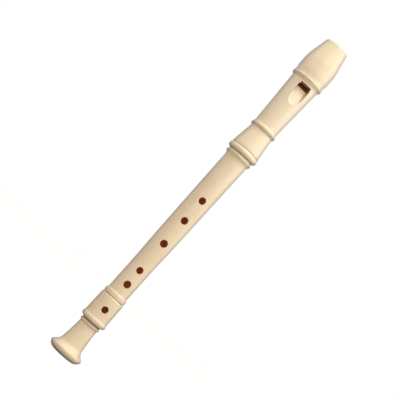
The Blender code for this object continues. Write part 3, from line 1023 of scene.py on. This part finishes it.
    def beak_cut(self) -> Object:
        """Round bar across the back that hollows the beak's underside."""
        tip = (-self.tip_back, self.tip)
        start = (-self.beak_radius, self.tip - self.cut_length)
        middle = ((tip[0] + start[0]) / 2, (tip[1] + start[1]) / 2)
        chord = math.dist(tip, start)
        away = math.sqrt(self.cut_radius ** 2 - chord ** 2 / 4)
        centre = (middle[0] + (start[1] - tip[1]) / chord * away,
                  middle[1] + (tip[0] - start[0]) / chord * away)
        sections = []
        for x in (-self.reach, self.reach):
            ring = []
            for step in range(self.cut_steps):
                angle = 2 * math.pi * step / self.cut_steps
                ring.append((x, -centre[0] - self.cut_radius * math.cos(angle),
                             centre[1] + self.cut_radius * math.sin(angle)))
            sections.append(ring)
        return lofted(sections, "beak_cutter")

    def build(self, finish: Material, inside: Material) -> Object:
        """Make and dress the head joint's shell.

        Args:
            finish: Its material.
            inside: Material of its bore.

        Returns:
            The piece, riding on its body.
        """
        piece = turned(self.outline(), "head_joint_shell")
        carve(piece, [self.windway(), self.window(), self.undercut(), self.ramp(), self.beak_cut()])
        dress(piece, finish, inside)
        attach(piece, "head")
        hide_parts("head_joint")
        return piece

    def _block_section(self, height: float, half: float, floor: float) -> list[tuple]:
        """One section of the block.

        Args:
            height: Height above the bell.
            half: Half width of the rib.
            floor: Distance of the rib's top from the axis.

        Returns:
            The points.
        """
        radius = self.bore - self.block_clearance
        start = math.asin(half / radius)
        points = [(-half, -floor, height), (half, -floor, height)]
        for step in range(self.block_steps + 1):
            angle = start + (2 * math.pi - 2 * start) * step / self.block_steps
            points.append((radius * math.sin(angle), -radius * math.cos(angle), height))
        return points

    def build_block(self, finish: Material) -> Object:
        """Make and dress the block.

        Args:
            finish: Its material.

        Returns:
            The piece, riding on the head's body.
        """
        spread = (self.entry_width - self.exit_width) / 2 / self.windway_length
        half = self.exit_width / 2 - self.block_clearance
        stations = ((self.window_top, half, self.windway_floor - self.block_chamfer),
                    (self.window_top + self.block_chamfer, half + self.block_chamfer * spread,
                     self.windway_floor),
                    (self.tip, half + self.windway_length * spread, self.windway_floor))
        piece = lofted([self._block_section(*station) for station in stations], "block_plug")
        carve(piece, [self.beak_cut()])
        piece.data.shade_smooth()
        piece.data.set_sharp_from_angle(angle=SHARP_ANGLE)
        piece.data.materials.append(finish)
        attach(piece, "head")
        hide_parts("block")
        return piece


@dataclass
class PhotoCamera:
    """The camera that took the photo, worked out from the picture's perspective."""

    frame_pixels: float = 400.0
    focal_pixels: float = 1366.0
    distance: float = 1.073
    target_height: float = 0.1686
    target_pixel: Point = (206.6, 193.6)
    beak_angle: float = math.radians(48.16)
    lean_away: float = math.asin(0.0732)
    turn: float = math.radians(8.3)
    sensor: float = 36.0

    def build(self) -> None:
        """Create the camera and make it the scene's."""
        flat = math.cos(self.lean_away)
        bore = Vector((math.cos(self.beak_angle) * flat, math.sin(self.beak_angle) * flat,
                       -math.sin(self.lean_away)))
        square = (Vector((0, 0, 1)) - bore * bore.z).normalized()
        across = bore.cross(square)
        front = square * math.cos(self.turn) + across * math.sin(self.turn)
        right = across * math.cos(self.turn) - square * math.sin(self.turn)
        half = self.frame_pixels / 2
        scale = self.distance / self.focal_pixels
        target = Vector(((self.target_pixel[0] - half) * scale, (half - self.target_pixel[1]) * scale,
                         -self.distance))
        base = target - bore * self.target_height
        turn = Matrix((right, -front, bore))
        data = bpy.data.cameras.new("photo_camera")
        data.sensor_width = self.sensor
        data.lens = self.sensor * self.focal_pixels / self.frame_pixels
        data.dof.use_dof = False
        camera = bpy.data.objects.new("photo_camera", data)
        bpy.context.scene.collection.objects.link(camera)
        camera.matrix_world = Matrix.Translation(-(turn @ base)) @ turn.to_4x4()
        bpy.context.scene.camera = camera


@dataclass(frozen=True)
class SoftLamp:
    """A soft square lamp: its power in watts, its side in metres, where it stands and what it faces."""

    name: str
    power: float
    size: float
    place: Place
    aim: Place = (0.0, 0.0, 0.18)
    colour: Colour = (0.90, 0.98, 1.0)

    def build(self) -> None:
        """Add the lamp to the scene."""
        data = bpy.data.lights.new(self.name, "AREA")
        data.energy = self.power
        data.color = self.colour
        data.size = self.size
        lamp = bpy.data.objects.new(self.name, data)
        bpy.context.scene.collection.objects.link(lamp)
        facing = (Vector(self.aim) - Vector(self.place)).to_track_quat("-Z", "Y")
        lamp.matrix_world = Matrix.Translation(Vector(self.place)) @ facing.to_matrix().to_4x4()


@dataclass
class Studio:
    """Pale floor, white background and soft lamps placed round the camera's view."""

    floor_size: float = 6.0
    floor_light: float = 1.06
    floor_share: float = 0.75
    floor_bounce: Colour = (0.35, 0.335, 0.32)
    floor_seen: Colour = (0.90, 0.90, 0.90)
    world_tone: Colour = (1.0, 0.93, 0.86)
    world_strength: float = 1.15
    dim_strength: float = 0.25
    bright_side: Place = (0.55, -0.25, 0.80)
    lamps: tuple[SoftLamp, ...] = (
        SoftLamp("key_lamp", power=0.26, size=0.22, place=(0.24, -0.15, 0.27), aim=(0.0, 0.0, 0.25)),
        SoftLamp("fill_lamp", power=0.26, size=0.25, place=(-0.35, -0.15, 0.40), aim=(0.0, 0.0, 0.28)),
        SoftLamp("top_lamp", power=9.5, size=0.50, place=(0.30, -0.60, 1.50)),
        SoftLamp("back_lamp", power=1.2, size=0.40, place=(0.10, 0.80, 0.45)),
    )

    def _floor(self) -> None:
        """Lay the floor, white to the camera but still taking the object's shadow."""
        bm = bmesh.new()
        bmesh.ops.create_grid(bm, x_segments=1, y_segments=1, size=self.floor_size)
        floor = finished_object(bm, "studio_floor")
        material, tree, shader = new_material("floor_paper")
        fill(shader, {"Roughness": 0.9})
        tones = {"A": (*self.floor_bounce, 1.0), "B": (*self.floor_seen, 1.0)}
        tone = add_node(tree, "Mix", tones, data_type="RGBA")
        white = add_node(tree, "Emission", {"Strength": self.floor_light})
        path = add_node(tree, "LightPath")
        share = add_node(tree, "Math", {1: self.floor_share}, operation="MULTIPLY")
        mix = add_node(tree, "MixShader")
        wire(tree,
             (path, "Is Camera Ray", tone, "Factor"), (tone, "Result", shader, "Base Color"),
             (path, "Is Camera Ray", share, 0), (share, "Value", mix, "Fac"), (shader, "BSDF", mix, 1),
             (white, "Emission", mix, 2), (mix, "Shader", tree.nodes["Material Output"], "Surface"))
        floor.data.materials.append(material)

    def _world(self) -> None:
        """Light all round softly, and show plain white to the camera and in reflections."""
        world = bpy.data.worlds.new("studio_world")
        world.use_nodes = True
        tree = world.node_tree
        soft = tree.nodes["Background"]
        fill(soft, {"Color": (*self.world_tone, 1.0)})
        place = add_node(tree, "TexCoord")
        toward = add_node(tree, "VectorMath", {1: self.bright_side}, operation="DOT_PRODUCT")
        slope = add_node(tree, "MapRange", {"From Min": -1.0, "To Min": self.dim_strength,
                                            "To Max": self.world_strength})
        white = add_node(tree, "Background", {"Color": (1.0, 1.0, 1.0, 1.0), "Strength": 1.0})
        path = add_node(tree, "LightPath")
        first = add_node(tree, "Math", operation="MAXIMUM")
        second = add_node(tree, "Math", operation="MAXIMUM")
        mix = add_node(tree, "MixShader")
        wire(tree,
             (place, "Generated", toward, 0), (toward, "Value", slope, "Value"),
             (slope, "Result", soft, "Strength"), (path, "Is Camera Ray", first, 0),
             (path, "Is Glossy Ray", first, 1), (first, "Value", second, 0),
             (path, "Is Transmission Ray", second, 1), (second, "Value", mix, "Fac"),
             (soft, "Background", mix, 1), (white, "Background", mix, 2),
             (mix, "Shader", tree.nodes["World Output"], "Surface"))
        bpy.context.scene.world = world

    def build(self) -> None:
        """Make the floor, the world and the lamps."""
        self._floor()
        self._world()
        for lamp in self.lamps:
            lamp.build()
        bpy.context.scene.view_settings.view_transform = "Standard"


def main() -> None:
    """Build the recorder's pieces, the camera and the studio in order."""
    logging.basicConfig(level=logging.INFO, format="%(message)s")
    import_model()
    PhotoCamera().build()
    effects = Effects()
    head = HeadJoint()
    # The bases grow lighter from the foot to the head: painted light, for the stronger light falling on the
    # beak end.
    foot_ivory = IvoryPlastic("ivory_foot", base=(0.805, 0.655, 0.455), roughness=0.36).build(effects)
    middle_ivory = IvoryPlastic("ivory_middle").build(effects)
    head_ivory_painted_light = IvoryPlastic("ivory_head", base=(0.850, 0.705, 0.500),
                              warm=(0.82, 0.64, 0.42)).build(effects)
    block_ivory = IvoryPlastic("ivory_block", roughness=0.42).build(effects)
    pieces = (
        FootJoint().build(foot_ivory, PaintedShadeBore("foot_bore", bore_radius=0.0050).build(effects)),
        MiddleJoint().build(middle_ivory, PaintedShadeBore("middle_bore").build(effects)),
        head.build(head_ivory_painted_light, PaintedShadeBore("head_bore").build(effects)),
        head.build_block(block_ivory),
    )
    for piece in pieces:
        log.info("%s: %d faces", piece.name, len(piece.data.polygons))
    Studio().build()


if __name__ == "__main__":
    main()
